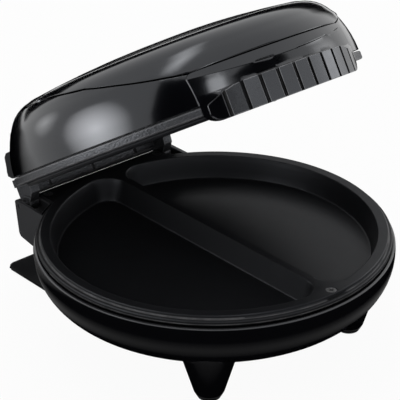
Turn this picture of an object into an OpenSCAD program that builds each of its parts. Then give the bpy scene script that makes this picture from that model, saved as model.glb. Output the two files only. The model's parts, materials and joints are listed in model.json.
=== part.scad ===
// Electric omelette maker: a round clamshell cooker with two D-shaped pockets.
// Millimetres. Z is up, the front is -Y, the hinge runs along X at the back.
// Every lid piece is drawn shut and then swung open about the hinge.

/* [Overall] */
// Radius of the bowl's rim and of the lid's ring
body_r = 110; // [100:1:125]
// Height of the bowl's rim above the table
rim_z = 61.5; // [59:0.5:68]
// Height of the bowl's flat underside above the table
belly_z = 30.9; // [29.5:0.1:32]
// Thickness of the moulded plastic walls
wall = 2.4; // [1.8:0.1:3]
// Angle of the lid at rest, measured from shut
lid_rest_deg = 31.7; // [5:0.1:90]

/* [Cooking plates] */
// Width of the ridge between the two pockets
ridge_w = 5; // [4:0.5:8]
// Depth of the lower pockets
lower_depth = 14.6; // [10:0.2:16]
// Depth of the upper pockets
upper_depth = 9; // [6:0.2:12]
// Radius of the pockets' corners
pocket_round = 14; // [10:0.5:18]
// How far a pocket's wall leans in from top to floor
pocket_lean = 3.5; // [2:0.1:5]
// Thickness of the cast plate
plate_t = 2.2; // [1.8:0.1:2.4]

/* [Hinge] */
// Half the width of the hinge box
box_x = 63; // [61:0.5:66]
// Radius of a hinge pin
pin_r = 1.6; // [1.4:0.1:1.8]
// Radial room between a pin and the lid's ear
pin_room = 0.05; // [0.02:0.01:0.1]
// Width of a lid ear along the hinge
ear_w = 6.9; // [6:0.1:7.4]

/* [Lid] */
// Height of the lid's dome above the bottom of its ring
dome_h = 51.2; // [48:0.2:56]
// Height of the lid's ring
ring_h = 5; // [4:0.2:5.6]
// Gap between the bowl's rim and the lid's ring when shut
lid_gap = 8.7; // [8:0.1:9.4]
// How far the lid sits in front of the bowl when shut
lid_front = 1.4; // [0:0.1:2]
// How far the hood stands proud of the lid's side wall
hood_proud = 0.6; // [0.3:0.1:1.2]
// How far the rear cap lies behind the side wall's face
cap_inset = 1; // [0.6:0.1:1.4]
// Width of the seam round the hood
seam_w = 0.8; // [0.6:0.1:2]

/* [Handle] */
// Number of ribs on the grip
ribs = 9; // [5:2:13]
// Half the width of the handle
handle_x = 58; // [56:0.5:62]
// Radius of the grip's front face seen from above
grip_r = 84; // [80:1:110]
// How far the grip stands in front of the ring
grip_out = 7.7; // [6:0.1:10]

/* [Feet] */
// Sideways place of a front foot
foot_x = 57; // [50:1:62]
// How far a front foot stands in front of the centre
foot_y = 60.5; // [54:0.5:66]
// Sideways place of a rear leg's outer face
leg_x = 57.4; // [56:0.1:59]
// How far the rear legs reach behind the centre
leg_reach = 138.4; // [134:0.1:144]

/* [Hidden] */
big = 400;
seg = 180;
small_seg = 24;
touch = 0.02;
// The bowl's wall is one arc
bowl_arc_r = 30.8;
bowl_arc_x = body_r - bowl_arc_r;
bowl_arc_z = rim_z - 4.8;
rim_round = 1;
// Lower plate heights
flange_z = rim_z + 6.1;
flange_t = 3;
flange_r = body_r - 4.6;
lip_r = body_r - 2.1;
lip_top_z = rim_z + 3.7;
lip_low_z = rim_z + 0.7;
rib_low_z = lip_low_z - 4.2;
pocket_r = body_r - 11;
lower_floor_z = flange_z - lower_depth;
lower_under_z = lower_floor_z - plate_t;
// Rear deck of the lower plate
deck_x = 49;
deck_t = 2;
deck_y = body_r + 3.9;
deck_z = rim_z + deck_t;
// Plate screws
screw_y = body_r - 8.7;
deck_screw_x = 44.6;
deck_screw_y = body_r - 1.4;
screw_r = 1.7;
screw_hole_r = 1.9;
screw_head_r = 3.1;
screw_head_h = 1.9;
boss_r = 4;
// Hinge
hinge_y = body_r + 4.5;
lid_hinge_y = hinge_y + lid_front;
hinge_z = rim_z - 3;
ear_r = 5;
ear_in_x = 50.8;
ear_mid_x = ear_in_x + ear_w / 2;
slot_in_x = 50;
slot_floor_z = hinge_z - ear_r - 1.5;
box_y = body_r + 10;
box_z = rim_z - 25;
box_wall = 2.4;
block_t = 2.2;
block_x = slot_in_x - block_t;
rear_cut_z = hinge_z - 7.4;
rear_cut_x = 59;
slot_front_r = body_r + 2.2;
// Lid heights, drawn shut
ring_z = rim_z + lid_gap;
ring_in_r = body_r - 5.8;
dome_z = ring_z + ring_h + 0.9;
dome_r = body_r - 0.4;
dome_top = ring_z + dome_h;
shell_in_r = dome_r - wall - cap_inset;
lip_out_r = shell_in_r - 0.3;
lip_in_t = 2.2;
cap_lift = 0.9;
shoulder_r = 22;
shoulder_x = dome_r - 27.2;
shoulder_z = dome_top - 28.7;
side_r = 61.6;
side_z = ring_z + 4.4;
crown_r = 550;
crown_x = dome_r - 24;
upper_face_z = flange_z + 0.3;
upper_flange_r = ring_in_r - 0.5;
upper_floor_z = upper_face_z + upper_depth;
upper_under_z = upper_floor_z + plate_t;
// Handle
grip_front = body_r + grip_out;
grip_top = ring_z + 11;
grip_low = ring_z - 5.6;
grip_t = 3;
grip_x = handle_x - 2.6;
grip_end = asin(grip_x / grip_r);
rib_pitch = 1.64 * grip_end / ribs;
rib_gap = 1.9;
rib_deep = 1.7;
// Handle body: a skin over the dome, a brow above it and a bow behind the grip
skin_t = 0.9;
brow_z = ring_z + 17.8;
brow_top_z = ring_z + 24.3;
brow_arc_r = 440;
bow_r = 1.1 * grip_r;
bow_front = grip_front - grip_t;
bow_top_z = grip_top - 0.6;
scoop_deep = 6;
grip_screw_x = 18;
grip_screw_z = ring_z + 8;
grip_screw_y = sqrt(pow(lip_out_r - lip_in_t - 0.2, 2) - pow(grip_screw_x + 2.8, 2));
// Heaters and inner pieces
heat_r = body_r - 46;
heat_end_y = body_r - 26;
heat_tip_y = body_r - 18;
heat_lead_y = heat_tip_y - 1;
heat_end_x = 12;
tube_r = 3.3;
lower_heat_z = lower_under_z - tube_r - 0.35;
upper_heat_z = upper_under_z + tube_r + 0.35;
shield_t = 0.8;
shield_r = body_r - 26;
lower_shield_z = lower_under_z - 11.2;
upper_shield_z = upper_under_z + 11.2;
post_x = 38;
post_y = 34;
post_r = 3.6;
lead_r = 1.3;
bead_over = 0.35;
// Bounding values that centre the part front to back at rest
front_most = body_r;
plan_y = (front_most - leg_reach) / 2;

function arc(x, y, r, from, to, n) =
    [for (i = [0:n]) let (a = from + (to - from) * i / n) [x + r * cos(a), y + r * sin(a)]];

// Places a piece so that the part is centred front to back
module placed() {
    translate([0, plan_y, 0])
        children();
}

// Swings a lid piece, drawn shut, to its rest angle
module swung() {
    placed()
        translate([0, hinge_y, hinge_z])
            rotate([-lid_rest_deg, 0, 0])
                translate([0, -lid_hinge_y, -hinge_z])
                    children();
}

module both_sides() {
    children();
    mirror([1, 0, 0])
        children();
}

// Extrudes an outline given in Y and Z to a width along X
module slab(from_x, to_x) {
    translate([from_x, 0, 0])
        rotate([90, 0, 90])
            linear_extrude(height = to_x - from_x)
                children();
}

module rod(p, q, r) {
    d = q - p;
    len = norm(d);
    translate(p)
        rotate([0, acos(d[2] / len), atan2(d[1], d[0])])
            cylinder(h = len, r = r, $fn = small_seg);
}

// A lead bent through a list of points, with a short sleeve round each bend
module lead(points, r) {
    for (i = [0:len(points) - 2])
        rod(points[i], points[i + 1], r);
    for (i = [1:len(points) - 2]) {
        in_way = (points[i] - points[i - 1]) / norm(points[i] - points[i - 1]);
        out_way = (points[i + 1] - points[i]) / norm(points[i + 1] - points[i]);
        half = (in_way + out_way) / norm(in_way + out_way) * (r + bead_over);
        rod(points[i] - half, points[i] + half, r + bead_over);
    }
}

// A screw with its head's top at the origin, driven down
module screw(length) {
    difference() {
        union() {
            translate([0, 0, -screw_head_h])
                cylinder(h = screw_head_h, r1 = screw_r, r2 = screw_head_r, $fn = small_seg);
            translate([0, 0, -length])
                cylinder(h = length, r = screw_r, $fn = small_seg);
        }
        for (a = [0, 90])
            rotate([0, 0, a])
                translate([-1.9, -0.35, -1])
                    cube([3.8, 0.7, 2]);
    }
}

// A countersunk hole for that screw
module screw_hole(length) {
    translate([0, 0, -screw_head_h])
        cylinder(h = screw_head_h, r1 = screw_hole_r, r2 = screw_head_r + 0.3, $fn = small_seg);
    translate([0, 0, -touch])
        cylinder(h = 4, r = screw_head_r + 0.3, $fn = small_seg);
    translate([0, 0, -length])
        cylinder(h = length, r = screw_hole_r, $fn = small_seg);
}

// Bowl

function bowl_curve(r, low_z) =
    arc(bowl_arc_x, bowl_arc_z, r, asin((low_z - bowl_arc_z) / r),
        asin((rim_z - rim_round - bowl_arc_z) / r), 12);

module bowl_solid() {
    rotate_extrude($fn = seg)
        polygon(concat(
            [[0, belly_z]],
            bowl_curve(bowl_arc_r, belly_z),
            [[body_r - 0.5, rim_z - 0.4 * rim_round], [body_r - 0.4 - rim_round, rim_z], [0, rim_z]]
        ));
}

module bowl_hollow() {
    rotate_extrude($fn = seg)
        polygon(concat(
            [[0, belly_z + wall]],
            bowl_curve(bowl_arc_r - wall, belly_z + wall),
            [[body_r - wall - 0.3, rim_z + 1], [0, rim_z + 1]]
        ));
}

module box_solid() {
    slab(-box_x, box_x)
        polygon([
            [60, rim_z], [box_y - 1.2, rim_z], [box_y, rim_z - 1.2], [box_y - 3, box_z + 2],
            [box_y - 5, box_z], [body_r - 14, box_z - 3], [60, box_z - 3]
        ]);
}

module box_hollow() {
    slab(-block_x, block_x)
        polygon([
            [70, rim_z + 1], [box_y - box_wall, rim_z + 1], [box_y - box_wall - 2.6, box_z + box_wall],
            [body_r - 14, box_z - 3 + box_wall], [70, box_z - 3 + box_wall]
        ]);
}

module ear_slot() {
    difference() {
        translate([slot_in_x, body_r - 20, slot_floor_z])
            cube([box_x - box_wall - slot_in_x, box_y - box_wall - body_r + 20, 40]);
        translate([0, 0, belly_z])
            cylinder(h = 60, r = slot_front_r, $fn = seg);
    }
}

// Screw bosses that hold the plate, cut to the inside of the bowl and box
module plate_bosses() {
    intersection() {
        union() {
            translate([0, -screw_y, belly_z])
                cylinder(h = rib_low_z - belly_z, r = boss_r, $fn = small_seg);
            for (s = [-1, 1])
                translate([s * deck_screw_x, deck_screw_y, belly_z])
                    cylinder(h = rim_z - belly_z, r = boss_r, $fn = small_seg);
        }
        union() {
            rotate_extrude($fn = seg)
                polygon(concat(
                    [[0, belly_z]],
                    bowl_curve(bowl_arc_r, belly_z),
                    [[body_r - 0.5, lip_low_z], [0, lip_low_z]]
                ));
            box_solid();
        }
    }
}

module base_shell() {
    placed()
        color([0.05, 0.05, 0.055])
            difference() {
                union() {
                    difference() {
                        union() {
                            bowl_solid();
                            difference() {
                                box_solid();
                                translate([0, 0, belly_z])
                                    cylinder(h = 60, r = body_r - 3, $fn = seg);
                            }
                        }
                        bowl_hollow();
                        box_hollow();
                        both_sides()
                            ear_slot();
                        // The back wall is lower between the two side walls
                        translate([-rear_cut_x, box_y - box_wall - 0.4, rear_cut_z])
                            cube([2 * rear_cut_x, box_wall + 2, 20]);
                    }
                    plate_bosses();
                    foot_bosses();
                    // Pad under the terminal block
                    translate([-10, block_at[1] - 4.5, box_z - 1.5])
                        cube([20, 9, block_at[2] - box_z + 1.5]);
                }
                // Pilot holes for the plate screws
                translate([0, -screw_y, lip_low_z - 14])
                    cylinder(h = 20, r = screw_r, $fn = small_seg);
                for (s = [-1, 1])
                    translate([s * deck_screw_x, deck_screw_y, rim_z - 16])
                        cylinder(h = 20, r = screw_r, $fn = small_seg);
                // Holes for the hinge pins
                both_sides()
                    translate([block_x - 1, hinge_y, hinge_z])
                        rotate([0, 90, 0])
                            cylinder(h = box_x, r = pin_r, $fn = small_seg);
                // Hole for the cord bush
                translate([0, box_y - 10, bush_z])
                    rotate([-90, 0, 0])
                        cylinder(h = 20, r = bush_r, $fn = 24);
                // Holes for the foot and leg screws
                for (p = foot_screw_places)
                    for (s = [-1, 1])
                        translate([s * p[0], p[1], belly_z - 6])
                            cylinder(h = 30, r = screw_hole_r, $fn = small_seg);
                // Cooling slots under the bowl
                for (i = [-3:3])
                    translate([i * 9 - 1.5, -22, belly_z - 1])
                        cube([3, 44, wall + 2]);
            }
}

bush_z = box_z + 8.6;
bush_r = 4.6;
leg_screw_y = body_r - 30;
leg_pad_z = belly_z + 6.2;
foot_screw_places = [[foot_x, -foot_y, belly_z + wall + 1.6], [leg_x - 6, leg_screw_y, leg_pad_z]];

// Pads inside the bowl under the foot and leg screws
module foot_bosses() {
    intersection() {
        for (p = foot_screw_places)
            for (s = [-1, 1])
                translate([s * p[0], p[1], belly_z])
                    cylinder(h = p[2] - belly_z, r = 5.4, $fn = small_seg);
        bowl_solid();
    }
}

// Feet

module front_foot() {
    difference() {
        union() {
            translate([0, 0, 5])
                cylinder(h = 36, r1 = 9.2, r2 = 20, $fn = 36);
            translate([0, 0, 2])
                cylinder(h = 3, r1 = 7.6, r2 = 9.2, $fn = 36);
        }
        translate([0, 0, 1])
            cylinder(h = 2.2, r = 5.6, $fn = 24);
        translate([0, 0, belly_z - 12])
            cylinder(h = 40, r = screw_r, $fn = small_seg);
    }
}

module front_feet() {
    placed()
        color([0.045, 0.045, 0.05])
            difference() {
                for (s = [-1, 1])
                    translate([s * foot_x, -foot_y, 0])
                        front_foot();
                bowl_solid();
            }
}

module rear_leg() {
    difference() {
        translate([leg_x - 12, 0, 0])
            slab(0, 12)
                polygon([
                    [leg_reach - 0.5, 1.6], [leg_reach, 2.6], [leg_reach - 0.8, 5], [leg_reach - 3.3, 7.2],
                    [body_r + 0.4, 23.9], [body_r - 18, 41], [body_r - 38, 41],
                    [body_r - 38, 18], [body_r - 14, 1.4], [leg_reach - 1.4, 1.2]
                ]);
        translate([leg_x - 6, leg_screw_y, 12])
            cylinder(h = 40, r = screw_r, $fn = small_seg);
    }
}

module rear_legs() {
    placed()
        color([0.045, 0.045, 0.05])
            difference() {
                both_sides()
                    rear_leg();
                bowl_solid();
                box_solid();
                for (s = [-1, 1])
                    for (y = [leg_reach - 9, body_r - 5])
                        translate([s * (leg_x - 6), y, 0])
                            cylinder(h = 2.6, r = 3.9, $fn = 24);
            }
}

module foot_pads() {
    placed()
        color([0.09, 0.09, 0.09]) {
            for (s = [-1, 1]) {
                translate([s * foot_x, -foot_y, 0])
                    rotate_extrude($fn = 24)
                        polygon([
                            [0, 0], [5.6, 0], [6.8, 0.6], [7.2, 1.4], [7.2, 2], [5.4, 2], [5.4, 3.2], [0, 3.2]
                        ]);
                for (y = [leg_reach - 9, body_r - 5])
                    translate([s * (leg_x - 6), y, 0])
                        cylinder(h = 2.6, r = 3.7, $fn = 24);
            }
        }
}

module foot_screws() {
    placed()
        color([0.6, 0.6, 0.62])
            for (p = foot_screw_places)
                for (s = [-1, 1])
                    translate([s * p[0], p[1], p[2] + screw_head_h])
                        screw(15);
}

// Plates

// A drafted D-shaped block, its flat side towards X = 0, from z = -depth up to z = over
module pocket_block(r, half, corner, lean, depth, over) {
    cx = half + corner;
    cy = sqrt((r - corner) * (r - corner) - cx * cx);
    slope = lean / depth;
    difference() {
        intersection() {
            translate([0, 0, -depth])
                cylinder(h = depth + over, r1 = r - lean, r2 = r + slope * over, $fn = seg);
            rotate([90, 0, 0])
                linear_extrude(height = 2 * r + 8, center = true)
                    polygon([
                        [half + lean, -depth], [half - slope * over, over], [r + 9, over + 9],
                        [r + 9, -depth - 9], [half + lean, -depth - 9]
                    ]);
        }
        for (s = [-1, 1])
            difference() {
                pocket_corner(cx, s * cy, r - corner, 3 * corner, depth + 1, over + 1);
                translate([cx, s * cy, -depth - 2])
                    cylinder(h = depth + over + 4, r1 = corner - lean - 2 * slope,
                        r2 = corner + slope * (over + 2), $fn = 96);
            }
    }
}

// The wedge of a pocket's corner, between the two tangent points of its round
module pocket_corner(cx, cy, from_centre, reach, depth, over) {
    s = sign(cy);
    translate([0, 0, -depth])
        linear_extrude(height = depth + over)
            polygon([
                [cx, cy], [cx * (1 + reach / from_centre), cy * (1 + reach / from_centre)],
                [cx - reach, cy + s * reach], [cx - reach, cy]
            ]);
}

module plate_pockets(depth) {
    both_sides()
        pocket_block(pocket_r, ridge_w / 2, pocket_round, pocket_lean, depth, 1);
}

// The pockets' outer bodies, thicker by the plate's thickness all round
module plate_pans(depth) {
    both_sides()
        pocket_block(pocket_r + plate_t, max(ridge_w / 2 - plate_t, 0.2), pocket_round + plate_t,
            pocket_lean, depth + plate_t, -1);
}

module lower_plate() {
    placed()
        color([0.15, 0.15, 0.16])
            difference() {
                union() {
                    rotate_extrude($fn = seg)
                        polygon([
                            [0, flange_z - flange_t], [flange_r - 3, flange_z - flange_t], [flange_r - 3, rib_low_z],
                            [flange_r - 1.2, rib_low_z], [flange_r - 1.2, lip_low_z],
                            [lip_r - 0.4, lip_low_z], [lip_r, lip_low_z + 0.4], [lip_r, lip_top_z - 0.6],
                            [lip_r - 0.6, lip_top_z], [flange_r, lip_top_z], [flange_r, flange_z - 0.5],
                            [flange_r - 0.5, flange_z], [0, flange_z]
                        ]);
                    translate([0, 0, flange_z])
                        plate_pans(lower_depth);
                    // Rear deck that reaches over the hinge box
                    difference() {
                        translate([-deck_x, body_r - 35, rim_z])
                            cube([2 * deck_x, deck_y - body_r + 35, deck_t]);
                        translate([0, 0, rim_z - 1])
                            cylinder(h = deck_t + 2, r = flange_r - 2, $fn = seg);
                    }
                    translate([0, -screw_y, rib_low_z])
                        cylinder(h = flange_z - flange_t - rib_low_z + 1, r = 5, $fn = small_seg);
                    shield_posts(lower_under_z, -1, lower_under_z - lower_shield_z - shield_t);
                }
                translate([0, 0, flange_z])
                    plate_pockets(lower_depth);
                translate([0, -screw_y, flange_z])
                    screw_hole(12);
                for (s = [-1, 1])
                    translate([s * deck_screw_x, deck_screw_y, deck_z])
                        screw_hole(12);
                for (s = [-1, 1])
                    translate([s * post_x, post_y, lower_shield_z])
                        cylinder(h = 9, r = 1.2, $fn = small_seg);
            }
}

module shield_posts(z, way, length) {
    for (s = [-1, 1])
        translate([s * post_x, post_y, z + (way < 0 ? -length : 0)])
            cylinder(h = length, r = post_r, $fn = small_seg);
}

module lower_plate_screws() {
    placed()
        color([0.2, 0.2, 0.21]) {
            translate([0, -screw_y, flange_z - 0.3])
                screw(15);
            for (s = [-1, 1])
                translate([s * deck_screw_x, deck_screw_y, deck_z - 0.1])
                    screw(13);
        }
}

// A tube heater: an open ring with two straight ends that turn back
module tube_heater(way) {
    rotate([0, 0, 98])
        rotate_extrude(angle = 344, $fn = seg)
            translate([heat_r, 0])
                circle(r = tube_r, $fn = 32);
    for (s = [-1, 1]) {
        p = [s * heat_r * sin(8), heat_r * cos(8), 0];
        half = [-s * (tube_r + 0.3) / sqrt(2), (tube_r + 0.3) / sqrt(2), 0];
        rod(p - half, p + half, tube_r + 0.3);
        rod(p, [s * heat_end_x, heat_end_y, way * 4], tube_r);
        rod([s * heat_end_x, heat_end_y - 0.5, way * 4], [s * heat_end_x, heat_tip_y, way * 4], 1.2);
    }
}

module lower_heater() {
    placed()
        color([0.42, 0.4, 0.38])
            translate([0, 0, lower_heat_z])
                tube_heater(-1);
}

// A flat strap bent over the tube and screwed up to the plate
module heater_clamps(z, under_z, way) {
    for (a = clamp_angles)
        rotate([0, 0, a]) {
            translate([heat_r, 0, z])
                rotate([90, 0, 0])
                    difference() {
                        cylinder(h = 8, r = tube_r + 1.1, center = true, $fn = 32);
                        cylinder(h = 10, r = tube_r + 0.1, center = true, $fn = 32);
                        translate([-10, way < 0 ? 0 : -10, -5])
                            cube([20, 10, 10]);
                    }
            for (s = [-1, 1])
                translate([heat_r + s * 6.1 - 2.6, -4, under_z + (way < 0 ? -1 : 0)])
                    cube([5.2, 8, 1]);
            for (s = [-1, 1])
                translate([heat_r + s * (tube_r + 0.6) - 0.5, -4, min(z, under_z)])
                    cube([1, 8, abs(under_z - z)]);
        }
}

clamp_angles = [0, 180, 232, 308];

module lower_heater_clamps() {
    placed()
        color([0.62, 0.62, 0.63])
            heater_clamps(lower_heat_z, lower_under_z, -1);
}

module upper_heater_clamps() {
    swung()
        color([0.62, 0.62, 0.63])
            heater_clamps(upper_heat_z, upper_under_z, 1);
}

// A shallow metal dish; its rim points towards the plate
module shield(way) {
    difference() {
        union() {
            translate([0, 0, way < 0 ? 0 : -shield_t])
                cylinder(h = shield_t, r = shield_r, $fn = 48);
            translate([0, 0, way < 0 ? 0 : -4])
                difference() {
                    cylinder(h = 4, r = shield_r, $fn = 48);
                    translate([0, 0, -1])
                        cylinder(h = 6, r = shield_r - shield_t, $fn = 48);
                }
        }
        for (s = [-1, 1])
            translate([s * post_x, post_y, -3])
                cylinder(h = 6, r = 1.7, $fn = small_seg);
        // Window for the thermostat and notch for the heater's ends
        translate([stat_x, stat_y, -6])
            cylinder(h = 12, r = 10, $fn = 32);
        translate([-20, heat_r + 4, -6])
            cube([40, 30, 12]);
    }
}

stat_x = 0;
stat_y = -26;
stat_r = 6.4;

module lower_shield() {
    placed()
        color([0.68, 0.68, 0.7])
            translate([0, 0, lower_shield_z])
                shield(-1);
}

module lower_shield_screws() {
    placed()
        color([0.6, 0.6, 0.62])
            for (s = [-1, 1])
                translate([s * post_x, post_y, lower_shield_z])
                    pan_screw(-1);
}

// A small pan-head screw; way -1 has the head below
module pan_screw(way) {
    translate([0, 0, way < 0 ? -1.6 : 0])
        cylinder(h = 1.6, r = 2.6, $fn = small_seg);
    translate([0, 0, way < 0 ? 0 : -7])
        cylinder(h = 7, r = 1.2, $fn = small_seg);
}

module thermostat() {
    placed()
        color([0.3, 0.29, 0.28])
            translate([stat_x, stat_y, 0]) {
                translate([0, 0, lower_under_z - 10])
                    cylinder(h = 9, r = stat_r, $fn = 28);
                translate([0, 0, lower_under_z - 1])
                    cylinder(h = 1, r = 8.5, $fn = 28);
                for (s = [-1, 1])
                    translate([s * 3.6 - 0.4, -2.4, lower_under_z - 16])
                        cube([0.8, 4.8, 6.4]);
            }
}

module thermal_fuse() {
    placed()
        color([0.82, 0.8, 0.72])
            translate([0, fuse_y, lower_shield_z - 2.2])
                rotate([0, 90, 0]) {
                    cylinder(h = 26, r = 2.2, center = true, $fn = small_seg);
                    cylinder(h = 34, r = 0.7, center = true, $fn = 14);
                }
}

fuse_y = 12;

module terminal_block() {
    placed()
        color([0.86, 0.85, 0.8])
            translate([block_at[0], block_at[1], block_at[2]])
                difference() {
                    translate([-14, -4.5, 0])
                        cube([28, 9, 9]);
                    for (i = [-1:1])
                        translate([i * 9, 0, 4]) {
                            rotate([90, 0, 0])
                                cylinder(h = 12, r = 1.4, center = true, $fn = 14);
                            cylinder(h = 8, r = 1.6, $fn = 14);
                        }
                }
}

block_at = [0, body_r - 6, box_z + 1.5];
term_z = block_at[2] + 4;

low_lead_z = belly_z + wall + 2;

module base_leads() {
    placed()
        color([0.75, 0.72, 0.65]) {
            // Mains leads from the bush to the block
            for (s = [-1, 1])
                lead([[s * 2, box_y - 9.6, bush_z], [s * 9, body_r + 0.6, term_z],
                    [s * 9, block_at[1] + 2.5, term_z]], lead_r);
            // Block to heater end, block to fuse, fuse to thermostat, thermostat to heater end
            lead([[9, block_at[1] - 2.5, term_z], [9, block_at[1] - 7, term_z],
                [heat_end_x, heat_lead_y, lower_heat_z - 9],
                [heat_end_x, heat_lead_y, lower_heat_z - 5.3]], lead_r);
            lead([[-9, block_at[1] - 2.5, term_z], [-9, block_at[1] - 7, term_z],
                [-24, block_at[1] - 18, low_lead_z],
                [-23, fuse_y, low_lead_z], [-18.6, fuse_y, lower_shield_z - 2.4]], lead_r);
            lead([[18.6, fuse_y, lower_shield_z - 2.4], [21, -20, low_lead_z],
                [5.4, stat_y, low_lead_z + 0.6]], lead_r);
            lead([[-5.4, stat_y, low_lead_z + 0.6], [-30, -10, low_lead_z],
                [-30, heat_lead_y - 11, low_lead_z], [-heat_end_x, heat_lead_y, lower_heat_z - 9],
                [-heat_end_x, heat_lead_y, lower_heat_z - 5.3]], lead_r);
        }
}

module cord_bush() {
    placed()
        color([0.07, 0.07, 0.075])
            translate([0, box_y, bush_z])
                rotate([-90, 0, 0])
                    difference() {
                        union() {
                            translate([0, 0, -8])
                                cylinder(h = 9, r = bush_r, $fn = 24);
                            cylinder(h = 2.4, r = bush_r + 1.8, $fn = 24);
                            translate([0, 0, -8])
                                cylinder(h = 2, r = bush_r + 1.2, $fn = 24);
                        }
                        translate([0, 0, -9])
                            cylinder(h = 14, r = bush_bore_r, $fn = 24);
                    }
}

bush_bore_r = 3.2;

module hinge_pins() {
    placed()
        color([0.7, 0.7, 0.72])
            both_sides()
                translate([block_x + 0.4, hinge_y, hinge_z])
                    rotate([0, 90, 0])
                        cylinder(h = box_x - block_x - 0.8, r = pin_r, $fn = small_seg);
}

module lead_tube() {
    placed()
        color([0.8, 0.78, 0.7])
            translate([tube_from, hinge_y, hinge_z])
                rotate([0, 90, 0])
                    difference() {
                        cylinder(h = block_x - tube_from, r = 1.8, $fn = small_seg);
                        translate([0, 0, -1])
                            cylinder(h = 40, r = 1.2, $fn = small_seg);
                    }
}

tube_from = 22;

// Lid shell

// Half outline of the dome, moved out by grow, with its crown raised by lift
function dome_curve(grow, lift) = concat(
    arc(0, dome_top - crown_r + lift, crown_r + grow, 90, 90 - asin(crown_x / crown_r), 6),
    arc(shoulder_x, shoulder_z + lift, shoulder_r + grow, 78, 30, 6),
    arc(dome_r - side_r, side_z, side_r + grow, 25, asin((dome_z - side_z) / side_r), 5)
);

module dome_solid(grow, low_z, lift = 0) {
    rotate_extrude($fn = seg)
        polygon(concat([[0, low_z]], dome_curve(grow, lift), [[dome_r + grow, low_z]]));
}

// All that lies behind the seam or below the crease, grown by the seam's width
module behind_seam(seam) {
    translate([0, seam_y, ring_z - 9])
        cylinder(h = 90, r = seam_r + seam, $fn = seg);
    translate([-big / 2, side_y - seam, ring_z - 9])
        cube([big, big / 2, 90]);
    slab(-big / 2, big / 2)
        polygon([
            [side_y + 30, ring_z + 41.4 + seam], [side_y, ring_z + 41.4 + seam], [-18, ring_z + 39.5 + seam],
            [-42, ring_z + 36.6 + seam], [-62, ring_z + 31.8 + seam], [-78, ring_z + 27.5 + seam],
            [-92, ring_z + 23.7 + seam], [-98, brow_top_z + seam], [-body_r - 20, brow_top_z + seam],
            [-body_r - 20, ring_z - 9], [side_y + 30, ring_z - 9]
        ]);
}

seam_y = 63;
seam_r = 111;
side_y = 9;

module lid_shell() {
    swung()
        color([0.08, 0.08, 0.085])
            difference() {
                union() {
                    difference() {
                        dome_solid(0, dome_z);
                        dome_solid(-wall - cap_inset, dome_z - 1, cap_lift);
                        // Shelf that the hood sits on
                        difference() {
                            dome_solid(2, dome_z + 3);
                            dome_solid(-shelf_deep, dome_z - 3);
                            behind_seam(0);
                        }
                        // The rear cap lies lower than the side wall
                        difference() {
                            dome_solid(2, dome_z - 3);
                            dome_solid(-cap_inset, dome_z - 4, cap_lift);
                            front_of_seam();
                        }
                        side_seams();
                    }
                    lid_bosses();
                }
                for (s = [-1, 1])
                    translate([s * light_x, light_y, dome_top - 12])
                        cylinder(h = 20, r = light_r, $fn = 24);
                lid_pilots();
                handle_screw_holes();
            }
}

shelf_deep = 1.9;

// All that lies in front of the arc or below the side runs of the seam
module front_of_seam() {
    difference() {
        translate([-big / 2, -big / 2, ring_z - 9])
            cube([big, big / 2 + side_y, 90]);
        translate([0, seam_y, ring_z - 19])
            cylinder(h = 120, r = seam_r, $fn = seg);
    }
    slab(-big / 2, big / 2)
        polygon(concat(
            [[-big / 2, ring_z - 9], [-big / 2, ring_z + side_run[0][1]]],
            [for (p = side_run) [p[0], ring_z + p[1]]],
            [[side_run[len(side_run) - 1][0], ring_z - 9]]
        ));
}

side_run = [[side_y, 41.2], [23, 40.4], [33, 36.4], [39, 30], [44, 21.6], [58, 5]];

light_x = 9;
light_y = 55;
light_r = 3.4;
light_z = dome_top - 2.9;
lamp_top_z = light_z - 4.1;

// The seam's lower runs, cut into each side from the arc's end down to the ring
module side_seams() {
    difference() {
        for (i = [0:len(side_run) - 2])
            slab(-big / 2, big / 2)
                side_strip(side_run[i], side_run[i + 1], seam_w / 2);
        dome_solid(-cap_inset - seam_deep, dome_z - 3);
    }
}

module side_strip(a, b, w) {
    d = (b - a) / norm(b - a) * w;
    across = [d[1], -d[0]];
    start = [a[0], ring_z + a[1]] - d / 2;
    end = [b[0], ring_z + b[1]] + d / 2;
    polygon([start + across, end + across, end - across, start - across]);
}

seam_deep = 0.9;

// Posts inside the dome that take the ring's screws
module lid_bosses() {
    intersection() {
        at_lid_screws()
            translate([0, 0, dome_z])
                cylinder(h = 30, r = lid_post_r, $fn = small_seg);
        dome_solid(-wall, dome_z);
    }
}

lid_screw_angles = [22, 68, 112, 158, 215, 325];
lid_screw_r = body_r - 6.6;
lid_screw_hole_r = 1.4;
lid_post_r = 2.8;
lid_tab_z = ring_z + 2.4;

module lid_pilots() {
    at_lid_screws()
        translate([0, 0, dome_z - 1])
            cylinder(h = 10, r = 1.2, $fn = small_seg);
}

module lid_hood() {
    swung()
        color([0.09, 0.09, 0.095])
            difference() {
                dome_solid(hood_proud, dome_z + 5);
                dome_solid(-shelf_deep, dome_z - 3);
                behind_seam(seam_w);
            }
}

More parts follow.
